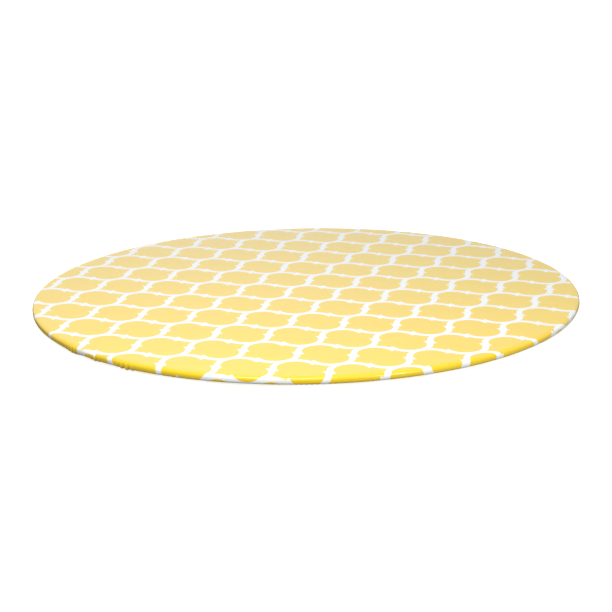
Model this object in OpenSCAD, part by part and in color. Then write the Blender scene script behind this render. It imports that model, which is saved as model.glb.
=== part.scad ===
// Round tabletop in a fitted, elastic-edged vinyl cover.
//
// The tabletop is a laminated board with a barbed moulding round its edge. The cover is a flannel-backed
// vinyl sheet: it lies over the top, wraps the edge and is drawn in underneath by an elastic cord that
// runs in a binding round its hem. The table's base bolts to the threaded inserts inside the hem.
//
// Millimetres. The origin is the centre of the underside of the board and +Z is up.

/* [Tabletop] */
// Diameter of the tabletop over its edge moulding
top_d = 1219.2; // [700:0.1:1830]
// Thickness of the core board
core_t = 11.1; // [11:0.1:30]
// Thickness of the laminate sheet on each face of the core
laminate_t = 0.8; // [0.6:0.1:1.2]

/* [Edge moulding] */
// Depth of the moulding outside the core board
edge_depth = 7; // [5.5:0.1:12]
// Radius that rounds the top and bottom corners of the moulding
edge_round = 5; // [2:0.1:5.4]
// Thickness of the tongue that holds the moulding
tongue_t = 1.2; // [1:0.1:1.5]
// Depth of the tongue behind the moulding
tongue_depth = 9; // [6:0.5:14]
// Height of each barb on the tongue
barb_h = 0.4; // [0.2:0.1:0.5]
// Number of barbs on each side of the tongue
barb_count = 4; // [2:1:6]
// Width of the saw kerf that takes the tongue
kerf_w = 2.2; // [2.2:0.1:3]
// Depth of the kerf past the tip of the tongue
kerf_clearance = 1; // [0.5:0.1:2]

/* [Base inserts] */
// Diameter of the circle that the inserts are on
insert_pcd = 240; // [120:1:400]
// Number of inserts
insert_count = 4; // [3:1:8]
// Diameter of the hole in each insert, the core diameter of its M6 thread
insert_bore_d = 5; // [4:0.1:6]
// Diameter of the insert over its outer thread
insert_d = 9.6; // [8:0.1:12]
// Diameter of the insert under its outer thread
insert_root_d = 8; // [7.5:0.1:9]
// Length of the insert below its flange
insert_len = 9; // [6:0.1:9.4]
// Diameter of the insert's flange
flange_d = 13; // [12.5:0.1:18]
// Thickness of the insert's flange
flange_t = 1.1; // [0.8:0.1:1.5]
// Width of the driving slot across the flange
slot_w = 1.6; // [1:0.1:2]
// Depth of the driving slot
slot_depth = 0.7; // [0.3:0.1:0.7]
// Pitch of the insert's outer thread
outer_pitch = 2; // [1.5:0.1:3]
// Play between the insert and its hole
insert_fit = 0.1; // [0.05:0.05:0.3]

/* [Cover] */
// Play between the cover and the tabletop
cover_gap = 0.3; // [0.3:0.1:1]
// Thickness of the flannel backing
flannel_t = 0.5; // [0.3:0.1:1.5]
// Bond line between the backing and the vinyl
bond_gap = 0.1; // [0.05:0.05:0.2]
// Thickness of the vinyl face
vinyl_t = 0.3; // [0.15:0.05:0.6]
// Width of the skirt under the tabletop, from its outside edge to the elastic
skirt_w = 64; // [55:1:120]
// Depth of the gathers where the skirt is fullest
gather_depth = 5.4; // [3:0.1:5.6]
// Distance of the fullest gathers from the elastic
gather_from_hem = 30; // [20:1:40]

/* [Hem] */
// Diameter of the elastic cord
elastic_d = 5; // [3:0.1:8]
// Play round the elastic cord inside the binding
elastic_play = 0.2; // [0.1:0.1:0.5]
// Thickness of the binding tape
binding_t = 0.6; // [0.4:0.1:1]
// Width of the binding from the elastic to its outer edge
binding_w = 14; // [12:0.5:18]
// Thickness of the gathered sheet where the binding grips it
hem_stack = 3; // [2:0.1:3.2]
// Distance between the elastic's casing and the edge of the gathered sheet
hem_inset = 1; // [0.5:0.1:2]
// Diameter of the sewing thread
thread_d = 0.5; // [0.3:0.1:0.8]
// Distance of the first row of stitches from the edge of the gathered sheet
stitch_inset = 1.8; // [1:0.1:3]
// Distance between the two rows of stitches
stitch_spacing = 5; // [3:0.5:6]

/* [Hidden] */
$fn = 96;
corner_steps = 8;

// Tabletop
top_r = top_d / 2;
core_r = top_r - edge_depth;
panel_t = core_t + 2 * laminate_t;
mid_z = panel_t / 2;
moulding_fit = 0.1;
barb_pitch = tongue_depth / (barb_count + 0.5);
barb_run = 0.8 * barb_pitch;

// Inserts
insert_hole_d = insert_d + 2 * insert_fit;
flange_hole_d = flange_d + 2 * insert_fit;
thread_turns = floor((insert_len - outer_pitch / 2) / outer_pitch);

// Layers of the cover, as distances outside the tabletop
flannel_in = cover_gap;
flannel_out = flannel_in + flannel_t;
vinyl_in = flannel_out + bond_gap;
vinyl_out = vinyl_in + vinyl_t;
flannel_share = (flannel_out - flannel_in) / (vinyl_out - flannel_in);

// Hem, drawn in under the tabletop
cavity_d = elastic_d + 2 * elastic_play;
roll_d = cavity_d + 2 * binding_t;
hem_r = top_r - skirt_w;
hem_z = -(cover_gap + roll_d / 2);
sheet_edge_r = hem_r + roll_d / 2 + hem_inset;
binding_edge_r = hem_r + binding_w;
stitch_rows = [sheet_edge_r + stitch_inset, sheet_edge_r + stitch_inset + stitch_spacing];

// Stations of the gathered skirt from the rim inwards: radius, upper side, lower side
rim_r = top_r - edge_round;
skirt_lap = 1;
full_r = hem_r + gather_from_hem;
SKIRT = [
    [rim_r + skirt_lap, -flannel_in, -vinyl_out],
    [rim_r - skirt_lap, -flannel_in, -vinyl_out],
    [full_r, -2 * flannel_in, -2 * flannel_in - gather_depth],
    [binding_edge_r, hem_z + hem_stack / 2, hem_z - hem_stack / 2],
    [sheet_edge_r, hem_z + hem_stack / 2, hem_z - hem_stack / 2]
];

// Points of a quarter round of radius corner_r about [r, z], turning from the given angle
function corner(r, z, corner_r, from) = [
    for (i = [0:corner_steps])
        let (angle = from + 90 * i / corner_steps)
        [r + corner_r * cos(angle), z + corner_r * sin(angle)]
];

// Half section of a round slab with its outside corners rounded
module slab_section(r, low_z, high_z, corner_r) {
    polygon(concat([[0, low_z]],
                   corner(r - corner_r, low_z + corner_r, corner_r, -90),
                   corner(r - corner_r, high_z - corner_r, corner_r, 0),
                   [[0, high_z]]));
}

// Half section of one layer of the cover from the centre of the top, round the rim, to the skirt
module layer_section(inside, outside) {
    difference() {
        slab_section(top_r + outside, -outside, panel_t + outside, edge_round + outside);
        slab_section(top_r + inside, -inside, panel_t + inside, edge_round + inside);
        translate([0, -outside - 1]) square([rim_r, mid_z + outside + 1]);
    }
}

// Half section of the gathered skirt between two shares of its depth, 0 at the upper side, 1 at the lower
module skirt_section(upper, lower, shift) {
    upper_side = [for (s = SKIRT) [s[0], s[1] + (s[2] - s[1]) * upper - shift]];
    lower_side = [for (i = [len(SKIRT) - 1:-1:0])
        [SKIRT[i][0], SKIRT[i][1] + (SKIRT[i][2] - SKIRT[i][1]) * lower]];
    polygon(concat(upper_side, lower_side));
}

// Places its children at each insert
module at_inserts() {
    for (i = [0:insert_count - 1])
        rotate([0, 0, (i + 0.5) * 360 / insert_count]) translate([insert_pcd / 2, 0, 0]) children();
}

module cover_face() {
    color("gold") rotate_extrude() {
        layer_section(vinyl_in, vinyl_out);
        skirt_section(flannel_share, 1, bond_gap);
    }
}

module cover_backing() {
    color("whitesmoke") rotate_extrude() {
        layer_section(flannel_in, flannel_out);
        skirt_section(0, flannel_share, 0);
    }
}

module hem_binding() {
    color("white") rotate_extrude() difference() {
        union() {
            translate([hem_r, hem_z]) circle(d = roll_d);
            translate([hem_r, hem_z - hem_stack / 2 - binding_t])
                square([binding_w, hem_stack + 2 * binding_t]);
        }
        translate([hem_r, hem_z]) circle(d = cavity_d);
        translate([sheet_edge_r, hem_z - hem_stack / 2]) square([binding_w, hem_stack]);
    }
}

module elastic_cord() {
    color("ivory") rotate_extrude() translate([hem_r, hem_z]) circle(d = elastic_d);
}

// Rows of lockstitch on both faces of the binding
module hem_stitching() {
    stitch_z = hem_stack / 2 + binding_t + thread_d / 2;
    color("khaki")
        for (r = stitch_rows, side = [-1, 1])
            rotate_extrude() translate([r, hem_z + side * stitch_z]) circle(d = thread_d);
}

module top_laminate() {
    color("gainsboro") translate([0, 0, panel_t - laminate_t]) cylinder(r = core_r, h = laminate_t);
}

module core_board() {
    kerf_r = core_r - tongue_depth - kerf_clearance;
    color("burlywood") difference() {
        translate([0, 0, laminate_t]) cylinder(r = core_r, h = core_t);
        rotate_extrude() translate([kerf_r, mid_z - kerf_w / 2]) square([core_r, kerf_w]);
        at_inserts() {
            cylinder(d = insert_hole_d, h = flange_t + insert_len + insert_fit);
            cylinder(d = flange_hole_d, h = flange_t + insert_fit);
        }
    }
}

module backing_laminate() {
    color("dimgray") difference() {
        cylinder(r = core_r, h = laminate_t);
        at_inserts() translate([0, 0, -1]) cylinder(d = flange_hole_d, h = laminate_t + 2);
    }
}

// Moulding bent round the board and welded into a ring, with its barbed tongue pressed into the kerf
module edge_moulding() {
    tongue_r = core_r - tongue_depth;
    color("lightgray") rotate_extrude() {
        difference() {
            slab_section(top_r, 0, panel_t, edge_round);
            translate([0, -1]) square([core_r + moulding_fit, panel_t + 2]);
        }
        translate([tongue_r, mid_z - tongue_t / 2]) square([tongue_depth + edge_depth / 2, tongue_t]);
        for (i = [0:barb_count - 1])
            translate([tongue_r + i * barb_pitch, mid_z])
                polygon([[0, -tongue_t / 2], [barb_run, -tongue_t / 2 - barb_h],
                         [barb_run, tongue_t / 2 + barb_h], [0, tongue_t / 2]]);
    }
}

// Flanged insert with a coarse outside thread, drawn as rings, and a slot to drive it by
module threaded_insert() {
    difference() {
        rotate_extrude() {
            translate([insert_bore_d / 2, 0]) square([(flange_d - insert_bore_d) / 2, flange_t]);
            translate([insert_bore_d / 2, 0])
                square([(insert_root_d - insert_bore_d) / 2, flange_t + insert_len]);
            for (i = [0:thread_turns - 1])
                translate([0, flange_t + (i + 0.5) * outer_pitch])
                    polygon([[insert_bore_d / 2, 0], [insert_root_d / 2, 0], [insert_d / 2, outer_pitch / 2],
                             [insert_root_d / 2, outer_pitch * 0.9], [insert_bore_d / 2, outer_pitch * 0.9]]);
        }
        for (angle = [0, 180])
            rotate([0, 0, angle]) translate([insert_root_d / 2, -slot_w / 2, -1])
                cube([flange_d, slot_w, 1 + slot_depth]);
    }
}

module threaded_inserts() {
    color("silver") at_inserts() threaded_insert();
}

cover_face();
cover_backing();
hem_binding();
elastic_cord();
hem_stitching();
top_laminate();
core_board();
backing_laminate();
edge_moulding();
threaded_inserts();
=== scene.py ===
"""Looks of a thin round tabletop in a fitted, elastic-edged vinyl cover.

The cover is one round sheet of flannel-backed vinyl. Its print is drawn on the flat cut, so the lattice runs
over the rim and into the gathers as it does on the real sheet. A binding tape holds the elastic that draws
the hem in under the board, and the board shows inside the hem with the inserts for its base.

Everything is in metres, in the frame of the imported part, +Z up.
"""

from __future__ import annotations

import logging
import math
from dataclasses import dataclass, field
from enum import Enum

import bmesh
import bpy
import numpy as np
from mathutils import Matrix, Vector


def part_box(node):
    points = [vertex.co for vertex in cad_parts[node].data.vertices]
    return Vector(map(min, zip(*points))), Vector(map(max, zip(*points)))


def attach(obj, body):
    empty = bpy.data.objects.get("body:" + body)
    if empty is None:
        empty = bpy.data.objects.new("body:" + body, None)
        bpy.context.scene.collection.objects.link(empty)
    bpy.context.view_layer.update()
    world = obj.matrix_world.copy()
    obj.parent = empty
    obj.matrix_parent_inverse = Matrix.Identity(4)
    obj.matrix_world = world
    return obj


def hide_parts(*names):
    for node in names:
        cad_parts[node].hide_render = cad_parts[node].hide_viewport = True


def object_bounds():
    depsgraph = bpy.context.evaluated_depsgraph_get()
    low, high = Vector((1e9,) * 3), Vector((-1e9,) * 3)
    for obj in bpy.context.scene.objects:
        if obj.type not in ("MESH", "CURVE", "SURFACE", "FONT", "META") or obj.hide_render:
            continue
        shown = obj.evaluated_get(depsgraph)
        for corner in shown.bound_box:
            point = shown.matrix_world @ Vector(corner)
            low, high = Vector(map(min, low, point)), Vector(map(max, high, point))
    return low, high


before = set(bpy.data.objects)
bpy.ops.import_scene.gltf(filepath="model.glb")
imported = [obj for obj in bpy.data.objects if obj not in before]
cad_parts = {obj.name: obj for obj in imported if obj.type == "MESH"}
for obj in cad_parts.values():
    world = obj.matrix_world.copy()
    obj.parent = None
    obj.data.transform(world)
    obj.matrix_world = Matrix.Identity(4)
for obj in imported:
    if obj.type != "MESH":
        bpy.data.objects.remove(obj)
CAD_LOW, CAD_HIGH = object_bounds()

log = logging.getLogger("tabletop")
MM = 0.001
BODY = "root"
CENTRE = (0.0, 0.0, 0.0)
FULL_TURN = 2 * math.pi


# ---------------------------------------------------------------- shared helpers


def linear(code: str) -> tuple[float, float, float, float]:
    """Turns an sRGB hex code into linear colour.

    Args:
        code: Six hex digits.

    Returns:
        Red, green, blue and full opacity.
    """
    shares = [int(code[i : i + 2], 16) / 255 for i in (0, 2, 4)]
    curve = [s / 12.92 if s <= 0.04045 else ((s + 0.055) / 1.055) ** 2.4 for s in shares]
    return (*curve, 1.0)


def add_node(
    tree: bpy.types.NodeTree, kind: str, inputs: dict | list | None = None, **settings: object
) -> bpy.types.Node:
    """Adds a node, sets it up and links what feeds it.

    Args:
        tree: The tree that the node goes into.
        kind: Blender's name of the node type.
        inputs: What each input socket gets, by name or by place. A socket, or the first output of a node, is
            linked, None leaves the input as it is, and anything else is set.
        settings: Attributes of the node.

    Returns:
        The new node.
    """
    node = tree.nodes.new(kind)
    for name, value in settings.items():
        setattr(node, name, value)
    pairs = inputs.items() if isinstance(inputs, dict) else enumerate(inputs or [])
    for key, value in pairs:
        if isinstance(value, bpy.types.Node):
            value = value.outputs[0]
        if isinstance(value, bpy.types.NodeSocket):
            tree.links.new(value, node.inputs[key])
        elif value is not None:
            node.inputs[key].default_value = value
    return node


def new_material(name: str) -> tuple[bpy.types.Material, bpy.types.NodeTree]:
    """Makes a material with an empty node tree.

    Args:
        name: What the material is on the real object.

    Returns:
        The material and its tree.
    """
    material = bpy.data.materials.new(name)
    material.use_nodes = True
    material.node_tree.nodes.clear()
    return material, material.node_tree


def mesh_piece(
    name: str, points: np.ndarray, faces: list[tuple[int, ...]], uvs: np.ndarray | None = None
) -> bpy.types.Object:
    """Makes a smooth mesh object at the origin.

    Args:
        name: The piece's name.
        points: One row of x, y and z for each vertex.
        faces: The corners of each face, as places in points.
        uvs: One row of u and v for each vertex, kept in a map named Cut.

    Returns:
        The object, linked to the scene.
    """
    mesh = bpy.data.meshes.new(name)
    mesh.from_pydata(points.tolist(), [], faces)
    if uvs is not None:
        layer = mesh.uv_layers.new(name="Cut")
        corners = np.zeros(len(mesh.loops), dtype=np.int32)
        mesh.loops.foreach_get("vertex_index", corners)
        layer.data.foreach_set("uv", uvs[corners].astype(np.float32).ravel())
    mesh.shade_smooth()
    mesh.update()
    piece = bpy.data.objects.new(name, mesh)
    bpy.context.scene.collection.objects.link(piece)
    return piece


def outward(piece: bpy.types.Object) -> None:
    """Turns the faces of a closed piece to point out of it.

    Args:
        piece: The piece.
    """
    shell = bmesh.new()
    shell.from_mesh(piece.data)
    bmesh.ops.recalc_face_normals(shell, faces=shell.faces[:])
    shell.to_mesh(piece.data)
    shell.free()


def solid(piece: bpy.types.Object) -> None:
    """Turns what a piece's modifiers make into its plain mesh.

    Args:
        piece: The piece, which loses its modifiers.
    """
    seen = piece.evaluated_get(bpy.context.evaluated_depsgraph_get())
    mesh = bpy.data.meshes.new_from_object(seen)
    piece.modifiers.clear()
    piece.data = mesh


def place(piece: bpy.types.Object, material: bpy.types.Material, slot: str, *nodes: str) -> None:
    """Dresses a piece and puts it on the body in place of CAD nodes.

    Args:
        piece: The finished piece.
        material: Its material.
        slot: Not used.
        nodes: The CAD nodes that it stands for.
    """
    piece.data.materials.clear()
    piece.data.materials.append(material)
    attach(piece, BODY)
    if nodes:
        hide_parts(*nodes)
    log.info("%s: %d faces, %s", piece.name, len(piece.data.polygons), material.name)


def ring_faces(
    rows: int, columns: int, closed_rows: bool, start: int = 0, flip: bool = False
) -> list[tuple[int, ...]]:
    """Quads of a grid that runs right round the centre.

    Args:
        rows: Number of rows of points.
        columns: Number of points in each row.
        closed_rows: Whether the last row joins the first.
        start: Place of the grid's first point.
        flip: Whether to turn the faces over.

    Returns:
        The corners of each quad.
    """
    faces = []
    for i in range(rows if closed_rows else rows - 1):
        low, high = start + i * columns, start + ((i + 1) % rows) * columns
        for j in range(columns):
            k = (j + 1) % columns
            quad = (low + j, high + j, high + k, low + k)
            faces.append(quad[::-1] if flip else quad)
    return faces


def round_angles(count: int) -> np.ndarray:
    """Divides the full turn evenly, starting at +X."""
    return np.arange(count) * (FULL_TURN / count)


def off_angle(angles: np.ndarray, at: float) -> np.ndarray:
    """Finds how far each angle is from one angle, the short way round."""
    return np.angle(np.exp(1j * (angles - at)))


def smooth_step(low: float, high: float, value: np.ndarray) -> np.ndarray:
    """Rises smoothly from 0 at low to 1 at high.

    Args:
        low: Where the rise starts.
        high: Where it ends.
        value: Where to read it.

    Returns:
        The share at each value.
    """
    share = np.clip((value - low) / (high - low), 0.0, 1.0)
    return share * share * (3 - 2 * share)


# ---------------------------------------------------------------- finishes


class Finish:
    """What all finishes share: a name and one principled shader."""

    name: str

    def surface(self, tree: bpy.types.NodeTree) -> dict[str, object]:
        """Works out the shader's inputs; each kind of finish has its own way."""
        raise NotImplementedError

    def material(self) -> bpy.types.Material:
        """Builds a material with this finish.

        Returns:
            The material.
        """
        material, tree = new_material(self.name)
        shader = add_node(tree, "ShaderNodeBsdfPrincipled", self.surface(tree))
        add_node(tree, "ShaderNodeOutputMaterial", {"Surface": shader})
        return material


@dataclass(frozen=True)
class TrellisPrint:
    """White lattice printed on the flat sheet: tiles with two round lobes between pointed tips.

    Shares are of the repeat's width. Each tile is outlined by the arcs of its two side lobes, and the arcs of
    its neighbours close it above and below. The arcs run a little past each other and leave small spurs.
    """

    width: float = 134.7 * MM
    length: float = 173.9 * MM
    turn: float = math.radians(-63.84)
    centre: tuple[float, float] = (25.3 * MM, -254.1 * MM)
    lobe_offset: float = 0.191
    lobe_radius: float = 0.3066
    line_half: float = 0.0463
    spur_start: float = 0.171
    spur_slant: float = -0.19
    edge_soft: float = 0.004

    def lines(self, tree: bpy.types.NodeTree, cut: bpy.types.NodeSocket) -> bpy.types.NodeSocket:
        """Finds where the white lines lie.

        Args:
            tree: The material's tree.
            cut: Place on the flat sheet, in metres.

        Returns:
            A socket that is 1 on a line and 0 inside a tile.
        """
        moved = add_node(tree, "ShaderNodeVectorMath", [cut, (*self.centre, 0.0)], operation="SUBTRACT")
        turned = add_node(
            tree,
            "ShaderNodeVectorRotate",
            {"Vector": moved, "Angle": -self.turn},
            rotation_type="Z_AXIS",
        )
        scaled = add_node(tree, "ShaderNodeVectorMath", [turned], operation="SCALE")
        scaled.inputs["Scale"].default_value = 1 / self.width
        parts = add_node(tree, "ShaderNodeSeparateXYZ", [scaled])
        half_length = self.length / self.width / 2
        across = add_node(tree, "ShaderNodeMath", [parts.outputs["X"], 0.5], operation="PINGPONG")
        along = add_node(tree, "ShaderNodeMath", [parts.outputs["Y"], half_length], operation="PINGPONG")
        own = add_node(tree, "ShaderNodeCombineXYZ", [across, along])
        other = add_node(tree, "ShaderNodeVectorMath", [(0.5, half_length, 0.0), own], operation="SUBTRACT")
        arcs = [self.arc(tree, place_in.outputs[0]) for place_in in (own, other)]
        return add_node(tree, "ShaderNodeMath", arcs, operation="MAXIMUM").outputs[0]

    def arc(self, tree: bpy.types.NodeTree, place_in: bpy.types.NodeSocket) -> bpy.types.NodeSocket:
        """Draws the arc of a lobe in one quarter of a tile.

        Args:
            tree: The material's tree.
            place_in: Place in the quarter, measured from the tile's centre.

        Returns:
            A socket that is 1 on the arc.
        """
        soft = self.edge_soft
        from_lobe = add_node(
            tree, "ShaderNodeVectorMath", [place_in, (self.lobe_offset, 0.0, 0.0)], operation="SUBTRACT"
        )
        reach = add_node(tree, "ShaderNodeVectorMath", [from_lobe], operation="LENGTH")
        off_arc = add_node(
            tree, "ShaderNodeMath", [reach.outputs["Value"], self.lobe_radius], operation="SUBTRACT"
        )
        distance = add_node(tree, "ShaderNodeMath", [off_arc], operation="ABSOLUTE")
        stroke = add_node(
            tree,
            "ShaderNodeMapRange",
            [distance, self.line_half - soft, self.line_half + soft, 1.0, 0.0],
            interpolation_type="SMOOTHSTEP",
        )
        slanted = add_node(
            tree, "ShaderNodeVectorMath", [place_in, (1.0, self.spur_slant, 0.0)], operation="DOT_PRODUCT"
        )
        start = self.spur_start + self.spur_slant * self.lobe_radius
        kept = add_node(
            tree, "ShaderNodeMapRange", [slanted.outputs["Value"], start - soft, start + soft, 0.0, 1.0]
        )
        return add_node(tree, "ShaderNodeMath", [stroke, kept], operation="MULTIPLY").outputs[0]


@dataclass(frozen=True)
class PrintedVinyl(Finish):
    """Calendered PVC film with a gravure print and a fine embossed grain.

    The film is smooth enough to shine. Seen at a low angle it mirrors the room, which washes the yellow out
    on the flat top and leaves it full on the rim.
    """

    name: str = "Printed embossed vinyl film"
    pattern: TrellisPrint = TrellisPrint()
    tile: str = "FCD41E"
    tile_thin: str = "FDD82A"
    line: str = "FCFDFB"
    roughness: float = 0.27
    ior: float = 1.54
    coat: float = 0.25
    coat_roughness: float = 0.12
    cloud: float = 60 * MM
    grain: float = 0.9 * MM
    grain_height: float = 0.006 * MM
    wave: float = 45 * MM
    wave_height: float = 0.25 * MM

    def surface(self, tree: bpy.types.NodeTree) -> dict[str, object]:
        """Prints the film and embosses it.

        Args:
            tree: The material's tree.

        Returns:
            What goes into each input, by name.
        """
        cut = add_node(tree, "ShaderNodeUVMap", uv_map="Cut").outputs[0]
        # Ink lies a little unevenly, which shows as a faint cloudiness in the yellow
        cloud = add_node(tree, "ShaderNodeTexNoise", {"Vector": cut, "Scale": 1 / self.cloud, "Detail": 3.0})
        inks = {0: cloud, 6: linear(self.tile), 7: linear(self.tile_thin)}
        ink = add_node(tree, "ShaderNodeMix", inks, data_type="RGBA").outputs[2]
        print_colours = {0: self.pattern.lines(tree, cut), 6: ink, 7: linear(self.line)}
        colour = add_node(tree, "ShaderNodeMix", print_colours, data_type="RGBA").outputs[2]
        # The film follows the board's slight waves, and the emboss breaks up what it mirrors
        wave = add_node(tree, "ShaderNodeTexNoise", {"Vector": cut, "Scale": 1 / self.wave, "Detail": 1.0})
        broad = add_node(tree, "ShaderNodeBump", {"Height": wave, "Distance": self.wave_height})
        grain = add_node(tree, "ShaderNodeTexNoise", {"Vector": cut, "Scale": 1 / self.grain, "Detail": 2.0})
        fine = add_node(
            tree,
            "ShaderNodeBump",
            {"Height": grain, "Distance": self.grain_height, "Normal": broad},
        )
        return {
            "Base Color": colour,
            "Roughness": self.roughness,
            "IOR": self.ior,
            "Coat Weight": self.coat,
            "Coat Roughness": self.coat_roughness,
            "Normal": fine,
        }


@dataclass(frozen=True)
class Weave(Finish):
    """Cloth drawn as crossing threads along and across the piece, for tape, braid and flannel.

    Threads finer than about half a millimetre would not show, so the spacing is drawn a little coarse.
    """

    name: str
    colour: str
    # shade is the painted shade colour that the low places between the threads take
    shade: str
    thread: float
    height: float
    fuzz: float
    diagonal: bool = False
    roughness: float = 0.9
    slant: float = math.radians(38)
    nap: float = 2 * MM
    sheen: float = 0.3
    sheen_roughness: float = 0.5

    def surface(self, tree: bpy.types.NodeTree) -> dict[str, object]:
        """Makes the cloth from two crossing sets of threads and a nap.

        Args:
            tree: The material's tree.

        Returns:
            What goes into each input, by name.
        """
        here = add_node(tree, "ShaderNodeUVMap", uv_map="Cut").outputs[0]
        place_in = here
        if self.diagonal:
            turned = add_node(
                tree,
                "ShaderNodeVectorRotate",
                {"Vector": here, "Angle": self.slant},
                rotation_type="Z_AXIS",
            )
            place_in = turned.outputs[0]
        # A wave texture draws 20 / (2 pi) bands in each unit
        bands = FULL_TURN / 20 / self.thread
        sets = [
            add_node(
                tree,
                "ShaderNodeTexWave",
                {"Vector": place_in, "Scale": bands, "Distortion": 1.0, "Detail": 2.0, "Detail Scale": 3.0},
                bands_direction=direction,
            ).outputs[1]
            for direction in ("X", "Y")
        ]
        crossing = add_node(tree, "ShaderNodeMath", sets, operation="MAXIMUM")
        nap = add_node(tree, "ShaderNodeTexNoise", {"Vector": here, "Scale": 1 / self.nap, "Detail": 5.0})
        surface = add_node(tree, "ShaderNodeMix", {0: self.fuzz, 2: crossing, 3: nap}, data_type="FLOAT")
        # The low places of the weave and nap take the darker shade colour: painted shade in the hollows
        # between threads
        threads_and_painted_shade = {0: surface, 6: linear(self.shade), 7: linear(self.colour)}
        colour = add_node(tree, "ShaderNodeMix", threads_and_painted_shade, data_type="RGBA").outputs[2]
        bump = add_node(tree, "ShaderNodeBump", {"Height": surface, "Distance": self.height})
        return {
            "Base Color": colour,
            "Roughness": self.roughness,
            "Normal": bump,
            "Sheen Weight": self.sheen,
            "Sheen Roughness": self.sheen_roughness,
        }


@dataclass(frozen=True)
class TwistedThread(Finish):
    """Spun polyester thread, dyed to the print: a matt twist with stray fibres, drawn twice its thickness."""

    name: str = "Spun polyester sewing thread"
    colour: str = "F4CC4C"
    # shade is the painted shade colour that the grooves of the twist take
    shade: str = "C0952A"
    twist: float = 0.5 * MM
    height: float = 0.1 * MM
    roughness: float = 0.75
    sheen: float = 0.2

    def surface(self, tree: bpy.types.NodeTree) -> dict[str, object]:
        """Makes the thread from a fine noise, since its stitches run every way.

        Args:
            tree: The material's tree.

        Returns:
            What goes into each input, by name.
        """
        here = add_node(tree, "ShaderNodeTexCoord").outputs["Object"]
        twisted = {"Vector": here, "Scale": 1 / self.twist, "Detail": 3.0}
        fibres = add_node(tree, "ShaderNodeTexNoise", twisted)
        # The low places of the twist take the darker shade colour: painted shade in the grooves between
        # fibres
        threads_and_painted_shade = {0: fibres, 6: linear(self.shade), 7: linear(self.colour)}
        colour = add_node(tree, "ShaderNodeMix", threads_and_painted_shade, data_type="RGBA").outputs[2]
        bump = add_node(tree, "ShaderNodeBump", {"Height": fibres, "Distance": self.height})
        return {"Base Color": colour, "Roughness": self.roughness, "Sheen Weight": self.sheen, "Normal": bump}


@dataclass(frozen=True)
class Speckle(Finish):
    """A hard sheet, board or casting whose colour comes from grains of two sizes."""

    name: str
    colours: tuple[str, str, str]
    coarse: float
    fine: float
    height: float
    roughness: float
    metallic: float = 0.0

    def surface(self, tree: bpy.types.NodeTree) -> dict[str, object]:
        """Makes the surface from coarse grains and dust.

        Args:
            tree: The material's tree.

        Returns:
            What goes into each input, by name.
        """
        here = add_node(tree, "ShaderNodeTexCoord").outputs["Object"]
        grains = add_node(tree, "ShaderNodeTexVoronoi", {"Vector": here, "Scale": 1 / self.coarse})
        dust = add_node(tree, "ShaderNodeTexNoise", {"Vector": here, "Scale": 1 / self.fine, "Detail": 4.0})
        share = add_node(tree, "ShaderNodeSeparateColor", [grains.outputs["Color"]])
        low, high, fleck = (linear(code) for code in self.colours)
        first = add_node(tree, "ShaderNodeMix", {0: share, 6: low, 7: high}, data_type="RGBA")
        mixed = {0: dust, 6: first.outputs[2], 7: fleck}
        second = add_node(tree, "ShaderNodeMix", mixed, data_type="RGBA").outputs[2]
        bump = add_node(tree, "ShaderNodeBump", {"Height": dust, "Distance": self.height})
        return {"Base Color": second, "Roughness": self.roughness, "Metallic": self.metallic, "Normal": bump}


VINYL = PrintedVinyl()
# The second colour of each cloth is the painted shade of its low places
# Flannel is brushed on the side that meets the table, so its weave hardly shows through the nap
FLANNEL = Weave("Brushed cotton flannel", "F4F3EE", "D9D7CF", thread=0.9 * MM, height=0.15 * MM, fuzz=0.7)
# Binding tape is a flat plain weave, with its threads along and across the hem
TAPE = Weave("Woven polyester binding tape", "F3F1EA", "CBC6BA", thread=0.8 * MM, height=0.10 * MM, fuzz=0.25)
# The cord's cover is braided, so its threads cross on the slant
BRAID = Weave(
    "Braided elastic cord", "EFEBDD", "BDB6A2", thread=0.7 * MM, height=0.15 * MM, fuzz=0.2, diagonal=True
)
THREAD = TwistedThread()
# High-pressure laminate is hard and matt, with a fine even fleck
TOP_SHEET = Speckle(
    "Matt pressed laminate",
    ("DAD7CF", "D3CFC6", "E4E1DA"),
    coarse=1.5 * MM,
    fine=0.5 * MM,
    height=0.01 * MM,
    roughness=0.5,
)
# The balancing sheet is undecorated brown kraft laminate, sanded for the glue
BACK_SHEET = Speckle(
    "Sanded kraft backing laminate",
    ("5B4A3D", "51423A", "6D5C4D"),
    coarse=4 * MM,
    fine=1.2 * MM,
    height=0.03 * MM,
    roughness=0.7,
)
# Particle board is pale chips in resin
CHIPBOARD = Speckle(
    "Raw particle board",
    ("C9A873", "A98550", "DCC59A"),
    coarse=3 * MM,
    fine=1 * MM,
    height=0.2 * MM,
    roughness=0.85,
)
# The edge moulding is extruded soft PVC, slightly streaked
EXTRUSION = Speckle(
    "Extruded vinyl moulding",
    ("CFCBC2", "C9C5BC", "D8D5CD"),
    coarse=12 * MM,
    fine=3 * MM,
    height=0.01 * MM,
    roughness=0.4,
)
# Zinc plate over die-cast zinc has a dull spangle
ZINC = Speckle(
    "Zinc-plated die casting",
    ("B9BBBD", "A5A8AB", "CDCFD0"),
    coarse=0.8 * MM,
    fine=0.3 * MM,
    height=0.01 * MM,
    roughness=0.38,
    metallic=1.0,
)


# ---------------------------------------------------------------- the cover


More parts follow.
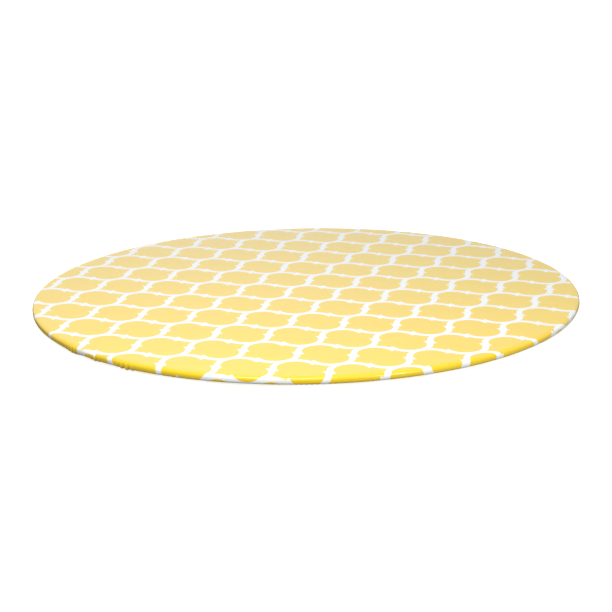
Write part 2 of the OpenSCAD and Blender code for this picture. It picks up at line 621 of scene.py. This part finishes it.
@dataclass(frozen=True)
class Gathers:
    """The waves that the elastic draws into the spare length of the hem, and the puckers above them."""

    count: int = 180
    deepest: float = 5.0 * MM
    # What is left of the waves inside the tape, and how far below the elastic's middle they run
    held: float = 0.54 * MM
    held_below: float = 0.9 * MM
    # Puckers on the rim where the sheet lies evenly
    pucker: float = 0.1 * MM
    waver: float = 0.9
    slow_waves: range = range(2, 40)
    # Small uneven spots all round: how many, and the ranges of their height and reach
    spots: int = 14
    spot_height: tuple[float, float] = (0.1 * MM, 0.45 * MM)
    spot_reach: tuple[float, float] = (0.05, 0.16)
    # Spots at the front left where the sheet is bunched: place, height and reach
    crumples: tuple[tuple[float, float, float], ...] = (
        (math.radians(-125.2), 3.2 * MM, math.radians(1.9)),
        (math.radians(-133.4), 2.4 * MM, math.radians(1.4)),
        (math.radians(-140.6), 3.4 * MM, math.radians(2.4)),
    )
    seed: int = 11

    def drift(self, angles: np.ndarray) -> np.ndarray:
        """Shifts the waves a little so that no two are quite alike.

        Args:
            angles: Where round the hem, in radians.

        Returns:
            The shift of the wave, in radians of its own cycle.
        """
        draw = np.random.default_rng(self.seed)
        shift = np.zeros_like(angles)
        for k in self.slow_waves:
            size, start = draw.normal(0, self.waver / math.sqrt(k)), draw.uniform(0, FULL_TURN)
            shift += size * np.cos(k * angles + start)
        return shift

    def fine(self, angles: np.ndarray) -> np.ndarray:
        """Draws the gathers at the hem, from 0 to 1."""
        return 0.5 + 0.5 * np.cos(self.count * angles + self.drift(angles))

    def broad(self, angles: np.ndarray) -> np.ndarray:
        """Draws the wide folds that the gathers run together into, from 0 to 1."""
        return 0.5 + 0.5 * np.cos(self.count // 3 * angles + 0.7 * self.drift(angles) + 1.0)

    def puckers(self, angles: np.ndarray) -> np.ndarray:
        """Draws how far the wall of the cover stands out from the board.

        Args:
            angles: Where round the rim, in radians.

        Returns:
            The distance, in metres. It is largest where the cover was pulled on unevenly.
        """
        draw = np.random.default_rng(self.seed + 1)
        drift = self.drift(angles)
        ranges = ((-math.pi, math.pi), self.spot_height, self.spot_reach)
        even = [tuple(draw.uniform(*ends) for ends in ranges) for _ in range(self.spots)]
        total = self.pucker * (0.5 + 0.5 * np.cos(2 * self.count * angles + 1.7 * drift))
        # Where the sheet is bunched the puckers are wider and higher than elsewhere
        for spots, pitch in ((even, 2 * self.count), (self.crumples, 1.7 * self.count)):
            wave = 0.5 + 0.5 * np.cos(pitch * angles + pitch / self.count * drift)
            for at, height, reach in spots:
                off = off_angle(angles, at)
                total += height * np.exp(-((off / reach) ** 2)) * wave
        return total

    def hem_height(self, angles: np.ndarray, middle: float) -> np.ndarray:
        """Finds the height of the printed side where the tape holds it.

        Args:
            angles: Where round the hem, in radians.
            middle: Height of the middle of the elastic.

        Returns:
            The heights, in metres.
        """
        return middle - self.held_below + self.held * (1 - 2 * self.fine(angles))


class Layer(Enum):
    """The two bonded layers of the sheet, each as the depths of its faces under the printed side."""

    VINYL = (0.0, 0.3 * MM)
    FLANNEL = (0.32 * MM, 0.85 * MM)


@dataclass
class Cover:
    """The fitted sheet, laid out from its flat cut by distance from the centre.

    The profile runs flat over the top, round the rim and in under the board to the hem. Under the board the
    cut is longer round than the space it lies in, and the spare length stands in gathers.
    """

    gathers: Gathers
    columns: int = 1980
    bottom: float = -1.2 * MM
    corner: float = 6.2 * MM
    corner_steps: int = 5
    under_steps: int = 11
    edge_in_tape: float = 9 * MM
    fan_from_corner: float = 10 * MM
    # How much of the puckers shows halfway down the rim, from none on top to all of them below
    halfway: float = 0.45
    # Shares of the skirt over which the folds split into gathers, and over which the tape takes hold
    splits: tuple[float, float] = (0.1, 0.45)
    grips: tuple[float, float] = (0.55, 0.83)
    rim_radius: float = field(init=False)
    top: float = field(init=False)
    hem_middle: float = field(init=False)
    hem_radius: float = field(init=False)
    angles: np.ndarray = field(init=False)

    def __post_init__(self) -> None:
        """Takes the sheet's place from the CAD cover and binding."""
        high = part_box("cover_face")[1]
        hem_low, hem_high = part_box("hem_binding")
        self.rim_radius = high.x
        self.top = high.z
        self.hem_middle = (hem_low.z + hem_high.z) / 2
        self.hem_radius = hem_high.x - self.edge_in_tape
        self.angles = round_angles(self.columns)

    def profile(self) -> np.ndarray:
        """Follows the printed side from the flat top to the hem.

        Returns:
            One row for each ring of points: distance along the cut, radius, height, how much of the puckers
            shows there, and the outward direction as radius and height.
        """
        inner = self.rim_radius - self.corner
        rows = [(inner - self.fan_from_corner, self.top, 0.0, 0.0, 1.0)]
        for middle, first in ((self.top - self.corner, 90), (self.bottom + self.corner, 0)):
            for i in range(self.corner_steps + 1):
                a = math.radians(first - 90 * i / self.corner_steps)
                share = i / self.corner_steps
                show = self.halfway * share * share if first else self.halfway + (1 - self.halfway) * share
                out, up = math.cos(a), math.sin(a)
                rows.append((inner + self.corner * out, middle + self.corner * up, show, out, up))
        for i in range(1, self.under_steps + 1):
            share = i / self.under_steps
            radius = inner + (self.hem_radius - inner) * share
            rows.append((radius, self.bottom, max(0.0, 1 - 4 * share), 0.0, -1.0))
        points = np.array(rows)
        steps_along = np.hypot(*np.diff(points[:, :2], axis=0).T)
        along = points[0, 0] + np.concatenate([[0.0], np.cumsum(steps_along)])
        return np.column_stack([along, points])

    def surface(self) -> tuple[np.ndarray, np.ndarray]:
        """Shapes the printed side.

        Returns:
            The points as rows by columns by x, y, z, and the place of each on the flat cut.
        """
        along, radius, height, show, out, up = (column[:, None] for column in self.profile().T)
        inner = self.rim_radius - self.corner
        share = np.where(up == -1, np.clip((inner - radius) / (inner - self.hem_radius), 0, 1), 0)
        pucker = self.gathers.puckers(self.angles) * show
        fine, broad = self.gathers.fine(self.angles), self.gathers.broad(self.angles)
        # Wide folds leave the rim, split into the gathers, and end flat between the two sides of the tape
        split = smooth_step(*self.splits, share)
        grip = smooth_step(*self.grips, share)
        depth = self.gathers.deepest * smooth_step(0.0, self.splits[1], share)
        free = height - depth * (broad * (1 - split) + fine * split)
        held = self.gathers.hem_height(self.angles, self.hem_middle)
        z = free * (1 - grip) + held * grip + pucker * up
        reach = radius + pucker * out
        points = np.stack([reach * np.cos(self.angles), reach * np.sin(self.angles), z], axis=2)
        cut = np.stack([along * np.cos(self.angles), along * np.sin(self.angles)], axis=2)
        return points, cut

    def normals(self, points: np.ndarray) -> np.ndarray:
        """Finds the outward direction at each point of the grid.

        Args:
            points: Rows by columns by x, y, z.

        Returns:
            Unit vectors in the same order.
        """
        round_step = np.roll(points, -1, axis=1) - np.roll(points, 1, axis=1)
        out_step = np.gradient(points, axis=0)
        normal = np.cross(out_step, round_step)
        return normal / np.linalg.norm(normal, axis=2, keepdims=True)

    def layer(self, which: Layer) -> bpy.types.Object:
        """Builds one layer as a closed thin shell.

        Args:
            which: The layer.

        Returns:
            The piece, not yet dressed.
        """
        points, cut = self.surface()
        normal = self.normals(points)
        outer, inner = (points - normal * depth for depth in which.value)
        rows, columns = points.shape[:2]
        count = rows * columns
        middle = [[0, 0, outer[0, 0, 2]], [0, 0, inner[0, 0, 2]]]
        vertices = np.concatenate([outer.reshape(-1, 3), inner.reshape(-1, 3), middle])
        uvs = np.concatenate([cut.reshape(-1, 2), cut.reshape(-1, 2), [[0, 0], [0, 0]]])
        faces = ring_faces(rows, columns, False)
        faces += ring_faces(rows, columns, False, count, flip=True)
        last = (rows - 1) * columns
        for j in range(columns):
            k = (j + 1) % columns
            faces.append((2 * count, j, k))
            faces.append((2 * count + 1, count + k, count + j))
            faces.append((last + j, count + last + j, count + last + k, last + k))
        return mesh_piece(f"cover_{which.name.lower()}", vertices, faces, uvs)

    def build(self) -> None:
        """Builds both layers and says what sheet they were cut from."""
        vinyl = self.layer(Layer.VINYL)
        place(vinyl, VINYL.material(), "printed_vinyl", "cover_face")
        flannel = self.layer(Layer.FLANNEL)
        place(flannel, FLANNEL.material(), "flannel", "cover_backing")


# ---------------------------------------------------------------- the hem


@dataclass
class Hem:
    """The elastic in its folded tape, and the stitches that hold the tape to the gathered sheet."""

    gathers: Gathers
    columns: int = 1440
    # Thickness of the tape, then the elastic and its braid
    tape: float = 0.6 * MM
    cord_radius: float = 2.45 * MM
    braid_depth: float = 0.07 * MM
    braid_turns: int = 430
    cord_steps: int = 20
    # The tape's middle round the elastic, and where its two ends lap
    roll_radius: float = 2.98 * MM
    lap: float = 0.5 * MM
    lap_at: float = math.radians(104)
    lap_fade: tuple[float, float] = (6 * MM, 7.5 * MM)
    # Places across the flat of the tape, from its free edge towards the cord
    flat: tuple[float, ...] = (0.0, -3 * MM, -8.2 * MM)
    # Degrees round the elastic at which the tape's path is drawn
    roll: tuple[int, ...] = (48, 75, 105, 135, 165, 195, 225, 255, 285, 312)
    roll_pucker: float = 0.18 * MM
    free_edge: float = 0.2 * MM
    sheet_gap: float = 0.05 * MM
    # Rows of stitches, measured from the tape's free edge
    rows: tuple[float, ...] = (-7.9 * MM, -2.9 * MM)
    pitch: float = 4.5 * MM
    stitch: float = 3.3 * MM
    thread_radius: float = 0.25 * MM
    crown: float = 0.55 * MM
    unevenness: float = 0.06
    seed: int = 5
    edge: float = field(init=False)
    middle: float = field(init=False)
    radius: float = field(init=False)
    angles: np.ndarray = field(init=False)

    def __post_init__(self) -> None:
        """Takes the hem's place from the CAD cord and binding."""
        low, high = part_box("hem_binding")
        self.edge = high.x
        self.middle = (low.z + high.z) / 2
        cord_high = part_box("elastic_cord")[1]
        self.radius = cord_high.x - (cord_high.z - self.middle)
        self.angles = round_angles(self.columns)

    def faces_of_tape(self, angles: np.ndarray) -> tuple[np.ndarray, np.ndarray]:
        """Finds the middle of the tape's two sides, over and under the sheet.

        Args:
            angles: Where round the hem, in radians.

        Returns:
            The heights of the upper and of the lower side.
        """
        held = self.gathers.hem_height(angles, self.middle)
        clear = self.tape / 2 + self.sheet_gap
        return held + Layer.FLANNEL.value[1] + clear, held - clear

    def path(self) -> np.ndarray:
        """Follows the tape from its upper edge round the cord to its lower edge.

        Returns:
            Points by columns by radius and height.
        """
        upper, lower = self.faces_of_tape(self.angles)
        ones = np.ones_like(self.angles)
        flat = [(self.edge - self.free_edge + place_in) * ones for place_in in self.flat]
        points = [(radius, upper) for radius in flat]
        # The tape puckers round the cord in step with the gathers
        roll = self.roll_radius + self.roll_pucker * self.gathers.fine(self.angles)
        for degrees in self.roll:
            a = math.radians(degrees)
            points.append((self.radius + roll * math.cos(a), self.middle + roll * math.sin(a)))
        points += [(radius, lower) for radius in reversed(flat)]
        return np.array(points).transpose(0, 2, 1)

    def binding(self) -> None:
        """Builds the tape as a closed strip folded round the cord, with one lapped joint."""
        path = self.path()
        step = np.gradient(path, axis=0)
        side = np.stack([step[..., 1], -step[..., 0]], axis=2)
        side /= np.linalg.norm(side, axis=2, keepdims=True)
        off = np.abs(off_angle(self.angles, self.lap_at)) * self.edge
        lap = self.lap * (1 - smooth_step(*self.lap_fade, off))
        outer = path - side * (self.tape / 2 + lap)[None, :, None]
        inner = path + side * self.tape / 2
        section = np.concatenate([outer, inner[::-1]])
        along = np.concatenate([[0], np.cumsum(np.hypot(*np.diff(path[:, 0], axis=0).T))])
        across = np.concatenate([along, along[::-1]])
        self.ring("hem_tape", section, across, TAPE, "binding_tape", "hem_binding")

    def cord(self) -> None:
        """Builds the elastic with the raised crossings of its braid."""
        around = round_angles(self.cord_steps)
        wind = self.braid_turns * self.angles[None, :]
        braid = np.sin(3 * around[:, None] + wind) * np.sin(3 * around[:, None] - wind)
        radius = self.cord_radius - self.braid_depth * (1 - braid)
        turn = around[:, None]
        section = np.stack([self.radius + radius * np.cos(turn), self.middle + radius * np.sin(turn)], axis=2)
        across = around * self.cord_radius
        self.ring("hem_elastic", section, across, BRAID, "elastic", "elastic_cord")

    def ring(
        self, name: str, section: np.ndarray, across: np.ndarray, finish: Weave, slot: str, node: str
    ) -> None:
        """Runs a closed section round the hem and dresses it.

        Args:
            name: The piece's name.
            section: Points by columns by radius and height.
            across: Distance of each point along the section, for the weave.
            finish: The cloth.
            slot: The record's slot.
            node: The CAD node that the piece stands for.
        """
        radius, height = section[..., 0], section[..., 1]
        points = np.stack([radius * np.cos(self.angles), radius * np.sin(self.angles), height], axis=2)
        along = np.broadcast_to(self.angles * self.edge, radius.shape)
        uvs = np.stack([along, np.broadcast_to(across[:, None], radius.shape)], axis=2)
        flip = np.cross(section[1, 0] - section[0, 0], section[2, 0] - section[0, 0]) > 0
        faces = ring_faces(len(section), self.columns, True, flip=bool(flip))
        piece = mesh_piece(name, points.reshape(-1, 3), faces, uvs.reshape(-1, 2))
        outward(piece)
        place(piece, finish.material(), slot, node)

    def stitch_places(self) -> tuple[np.ndarray, np.ndarray, np.ndarray]:
        """Finds where each stitch lies on the two sides of the tape.

        Returns:
            The middles of the stitches, the way that each runs and the way that each faces.
        """
        middles, ways, faces = [], [], []
        for side, sign in enumerate((1, -1)):
            for row in self.rows:
                radius = self.edge + row
                count = int(round(FULL_TURN * radius / self.pitch))
                # The lower side's stitches lie a quarter of a stitch further on
                angles = (np.arange(count) + 0.25 * side) * (FULL_TURN / count)
                ends = []
                for turn in (-0.5, 0, 0.5):
                    at = angles + turn * self.stitch / radius
                    z = self.faces_of_tape(at)[side] + sign * self.tape / 2
                    ends.append(np.stack([radius * np.cos(at), radius * np.sin(at), z], axis=1))
                way = ends[2] - ends[0]
                out = np.stack([np.cos(angles), np.sin(angles), np.zeros(count)], axis=1)
                middles.append(ends[1])
                ways.append(way / np.linalg.norm(way, axis=1, keepdims=True))
                faces.append(sign * np.cross(out, ways[-1]))
        return np.concatenate(middles), np.concatenate(ways), np.concatenate(faces)

    def stitch_tree(self, material: bpy.types.Material) -> bpy.types.NodeTree:
        """Makes the nodes that put one thread loop at each guide point.

        Args:
            material: The thread's finish, the first value of its input.

        Returns:
            The tree.
        """
        tree = bpy.data.node_groups.new("Lockstitch rows", "GeometryNodeTree")
        sockets = (
            ("Guide", "NodeSocketGeometry", None),
            ("Half Stitch", "NodeSocketFloat", self.stitch / 2),
            ("Thread Radius", "NodeSocketFloat", self.thread_radius),
            ("Crown", "NodeSocketFloat", self.crown),
            ("Unevenness", "NodeSocketFloat", self.unevenness),
            ("Seed", "NodeSocketInt", self.seed),
            ("Thread", "NodeSocketMaterial", material),
        )
        for name, kind, value in sockets:
            socket = tree.interface.new_socket(name, in_out="INPUT", socket_type=kind)
            if value is not None:
                socket.default_value = value
        tree.interface.new_socket("Stitches", in_out="OUTPUT", socket_type="NodeSocketGeometry")
        given = add_node(tree, "NodeGroupInput").outputs
        # The thread arches from one hole to the next and dips into the tape at both
        back, sink, least = (
            add_node(tree, "ShaderNodeMath", [given[name], factor], operation="MULTIPLY").outputs[0]
            for name, factor in (("Half Stitch", -1.0), ("Thread Radius", -0.9), ("Unevenness", -1.0))
        )
        start, top, end = (
            add_node(tree, "ShaderNodeCombineXYZ", {"X": x, "Z": z}).outputs[0]
            for x, z in ((back, sink), (None, given["Crown"]), (given["Half Stitch"], sink))
        )
        loop = add_node(
            tree,
            "GeometryNodeCurveQuadraticBezier",
            {"Resolution": 4, "Start": start, "Middle": top, "End": end},
        )
        circle = add_node(
            tree, "GeometryNodeCurvePrimitiveCircle", {"Resolution": 5, "Radius": given["Thread Radius"]}
        )
        thread = add_node(
            tree,
            "GeometryNodeCurveToMesh",
            {"Curve": loop, "Profile Curve": circle, "Fill Caps": True},
        )
        way, face = (
            add_node(tree, "GeometryNodeInputNamedAttribute", {"Name": name}, data_type="FLOAT_VECTOR")
            for name in ("way", "face")
        )
        tilt = add_node(
            tree,
            "FunctionNodeRandomValue",
            {"Min": least, "Max": given["Unevenness"], "Seed": given["Seed"]},
            data_type="FLOAT_VECTOR",
        )
        tilted = add_node(tree, "ShaderNodeVectorMath", [way, tilt], operation="ADD")
        turn = add_node(
            tree,
            "FunctionNodeAxesToRotation",
            [face, tilted],
            primary_axis="Z",
            secondary_axis="X",
        )
        placed = add_node(
            tree,
            "GeometryNodeInstanceOnPoints",
            {"Points": given["Guide"], "Instance": thread, "Rotation": turn},
        )
        real = add_node(tree, "GeometryNodeRealizeInstances", [placed])
        smooth = add_node(tree, "GeometryNodeSetShadeSmooth", [real])
        done = add_node(tree, "GeometryNodeSetMaterial", {"Geometry": smooth, "Material": given["Thread"]})
        add_node(tree, "NodeGroupOutput", [done])
        return tree

    def stitching(self) -> None:
        """Sews the tape: two rows on each of its sides."""
        middles, ways, faces = self.stitch_places()
        guide = mesh_piece("hem_stitches", middles, [])
        for name, values in (("way", ways), ("face", faces)):
            attribute = guide.data.attributes.new(name, "FLOAT_VECTOR", "POINT")
            attribute.data.foreach_set("vector", values.astype(np.float32).ravel())
        material = THREAD.material()
        tree = self.stitch_tree(material)
        modifier = guide.modifiers.new("Lockstitch rows", "NODES")
        modifier.node_group = tree
        sizes = {
            "Half Stitch": self.stitch / 2,
            "Thread Radius": self.thread_radius,
            "Seed": self.seed,
            "Thread": material,
        }
        for item in tree.interface.items_tree:
            if item.name in sizes:
                modifier[item.identifier] = sizes[item.name]
        solid(guide)
        place(guide, material, "thread", "hem_stitching")

    def build(self) -> None:
        """Builds the cord, the tape round it and the stitches."""
        self.cord()
        self.binding()
        self.stitching()


@dataclass(frozen=True)
class Board:
    """The laminated tabletop inside the cover, whose CAD shapes are already right."""

    finishes: tuple[tuple[str, Speckle], ...] = (
        ("top_laminate", TOP_SHEET),
        ("core_board", CHIPBOARD),
        ("backing_laminate", BACK_SHEET),
        ("edge_moulding", EXTRUSION),
        ("threaded_inserts", ZINC),
    )

    def build(self) -> None:
        """Gives each CAD node of the board its finish."""
        for name, finish in self.finishes:
            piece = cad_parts[name]
            piece.data.materials.clear()
            piece.data.materials.append(finish.material())
            log.info("%s: %s", name, finish.name)


# ---------------------------------------------------------------- the studio


@dataclass
class Studio:
    """Plain pale floor, soft light from all round and the camera.

    The surround is a sphere of light. Its ranges are of the parts of a unit direction, with X to the right,
    Y to the back and Z up.
    """

    lens: float = 83.8
    sensor: float = 36.0
    elevation: float = math.radians(16.31)
    roll: float = math.radians(1.0)
    distance: float = 3.2326
    aim: tuple[float, float, float] = (0.0, -10.8 * MM, -36.8 * MM)
    floor_half: float = 30.0
    floor_glow: float = 0.7
    # The light in front is dimmer than the wall behind: its level, and where it changes
    front: float = 0.35
    front_to_back: tuple[float, float] = (-0.3, 0.5)
    # The wall's levels low down and high up, and where they change
    wall: tuple[float, float] = (1.4, 0.7)
    wall_rise: tuple[float, float] = (0.2, 0.5)
    # The wall falls off to both sides of its middle, which is a little to the left
    wall_ends: float = 0.8
    wall_middle: float = -0.04
    wall_sides: tuple[float, float] = (0.04, 0.24)
    # Levels straight below, at the horizon and low down on the right
    under: tuple[float, float] = (0.3, 0.0)
    under_rise: tuple[float, float] = (-0.8, 0.0)
    right: float = 0.7
    to_right: tuple[float, float] = (0.2, 0.8)
    # Where the white turns cooler
    cool_white: str = "C4D4EA"
    cool_way: tuple[float, float, float] = (0.6, 0.8, -0.4)
    to_cool: tuple[float, float] = (0.45, 0.95)
    # Name, place, side and watts of each panel
    panels: tuple[tuple[str, tuple[float, float, float], float, float], ...] = (
        ("key", (-0.35, -1.5, 1.65), 1.1, 31.5),
        ("rim light", (1.3, -2.2, 0.9), 0.6, 17.0),
    )

    def build(self) -> None:
        """Sets up the floor, the light and the camera."""
        self.floor()
        self.light()
        self.camera()

    def floor(self) -> None:
        """Lays the floor under the hem. It is clear from below, so that the underside can be looked at."""
        size, z = self.floor_half, CAD_LOW.z
        corners = np.array([[-size, -size, z], [size, -size, z], [size, size, z], [-size, size, z]])
        floor = mesh_piece("floor", corners, [(0, 1, 2, 3)])
        material, tree = new_material("Plain pale floor")
        pale = {"Base Color": linear("F4F4F4"), "Roughness": 0.9, "Specular IOR Level": 0.1}
        lit = {"Emission Color": linear("FFFFFF"), "Emission Strength": self.floor_glow}
        seen = add_node(tree, "ShaderNodeBsdfPrincipled", {**pale, **lit})
        # Only what the camera sees of it is solid, so the underside is lit through it as on a raised table
        looked_at = add_node(tree, "ShaderNodeLightPath").outputs["Is Camera Ray"]
        under = add_node(tree, "ShaderNodeNewGeometry").outputs["Backfacing"]
        shown = add_node(tree, "ShaderNodeMath", [looked_at, under], operation="SUBTRACT", use_clamp=True)
        clear = add_node(tree, "ShaderNodeBsdfTransparent")
        both = add_node(tree, "ShaderNodeMixShader", [shown, clear, seen])
        add_node(tree, "ShaderNodeOutputMaterial", {"Surface": both})
        floor.data.materials.append(material)

    def light(self) -> None:
        """Lights the studio from a white surround, dimmer in front, and from two soft panels."""
        world = bpy.data.worlds.new("Studio")
        world.use_nodes = True
        tree = world.node_tree
        tree.nodes.clear()
        way = add_node(tree, "ShaderNodeTexCoord").outputs["Generated"]
        x, y, z = add_node(tree, "ShaderNodeSeparateXYZ", [way]).outputs
        behind = add_node(tree, "ShaderNodeMapRange", [y, *self.front_to_back, self.front, 1.0])
        # The wall is brightest low down, where the top mirrors it
        low, high = self.wall
        shifted = add_node(tree, "ShaderNodeMath", [x, -self.wall_middle], operation="ADD")
        aside = add_node(tree, "ShaderNodeMath", [shifted], operation="ABSOLUTE")
        ends = add_node(tree, "ShaderNodeMapRange", [aside, *self.wall_sides, low, low * self.wall_ends])
        rise = add_node(tree, "ShaderNodeMapRange", [z, *self.wall_rise, ends, high])
        above = add_node(tree, "ShaderNodeMath", [behind, rise], operation="MULTIPLY")
        down, level = self.under
        low_right = add_node(tree, "ShaderNodeMapRange", [x, *self.to_right, level, self.right])
        fall = add_node(tree, "ShaderNodeMapRange", [z, *self.under_rise, down, low_right])
        is_under = add_node(tree, "ShaderNodeMath", [z, 0.0], operation="LESS_THAN")
        levels = {0: is_under, 2: above, 3: fall}
        strength = add_node(tree, "ShaderNodeMix", levels, data_type="FLOAT")
        corner = add_node(tree, "ShaderNodeVectorMath", [way, self.cool_way], operation="DOT_PRODUCT")
        cool = add_node(tree, "ShaderNodeMapRange", [corner.outputs["Value"], *self.to_cool, 0.0, 1.0])
        tints = {0: cool, 6: linear("FFFFFF"), 7: linear(self.cool_white)}
        tint = add_node(tree, "ShaderNodeMix", tints, data_type="RGBA").outputs[2]
        background = add_node(tree, "ShaderNodeBackground", {"Color": tint, "Strength": strength})
        add_node(tree, "ShaderNodeOutputWorld", {"Surface": background})
        bpy.context.scene.world = world
        for name, at, size, power in self.panels:
            self.panel(name, at, size, power)

    def panel(self, name: str, at: tuple[float, float, float], size: float, power: float) -> None:
        """Hangs a square light panel that faces the middle of the frame.

        Args:
            name: Its name.
            at: Where it hangs.
            size: Length of its side.
            power: Its power in watts.
        """
        data = bpy.data.lights.new(name, "AREA")
        data.size = size
        data.energy = power
        light = bpy.data.objects.new(name, data)
        light.location = at
        light.rotation_mode = "QUATERNION"
        light.rotation_quaternion = (Vector(CENTRE) - Vector(at)).to_track_quat("-Z", "Y")
        bpy.context.scene.collection.objects.link(light)

    def camera(self) -> None:
        """Places the camera in front, looking a little down."""
        data = bpy.data.cameras.new("camera")
        data.lens = self.lens
        data.sensor_width = self.sensor
        camera = bpy.data.objects.new("camera", data)
        bpy.context.scene.collection.objects.link(camera)
        e = self.elevation
        forward = Vector((0, math.cos(e), -math.sin(e)))
        up = Vector((0, math.sin(e), math.cos(e)))
        right = forward.cross(up)
        turn = Matrix.Rotation(self.roll, 3, forward)
        axes = Matrix([turn @ right, turn @ up, turn @ -forward]).transposed()
        target = Vector((0, 0, CAD_HIGH.z)) + Vector(self.aim)
        camera.matrix_world = Matrix.Translation(target - forward * self.distance) @ axes.to_4x4()
        bpy.context.scene.camera = camera


def main() -> None:
    """Builds the studio, the cover, its hem and the board, in that order."""
    logging.basicConfig(level=logging.INFO, format="%(message)s")
    scene = bpy.context.scene
    scene.view_settings.view_transform = "Standard"
    Studio().build()
    gathers = Gathers()
    Cover(gathers).build()
    Hem(gathers).build()
    Board().build()


if __name__ == "__main__":
    main()
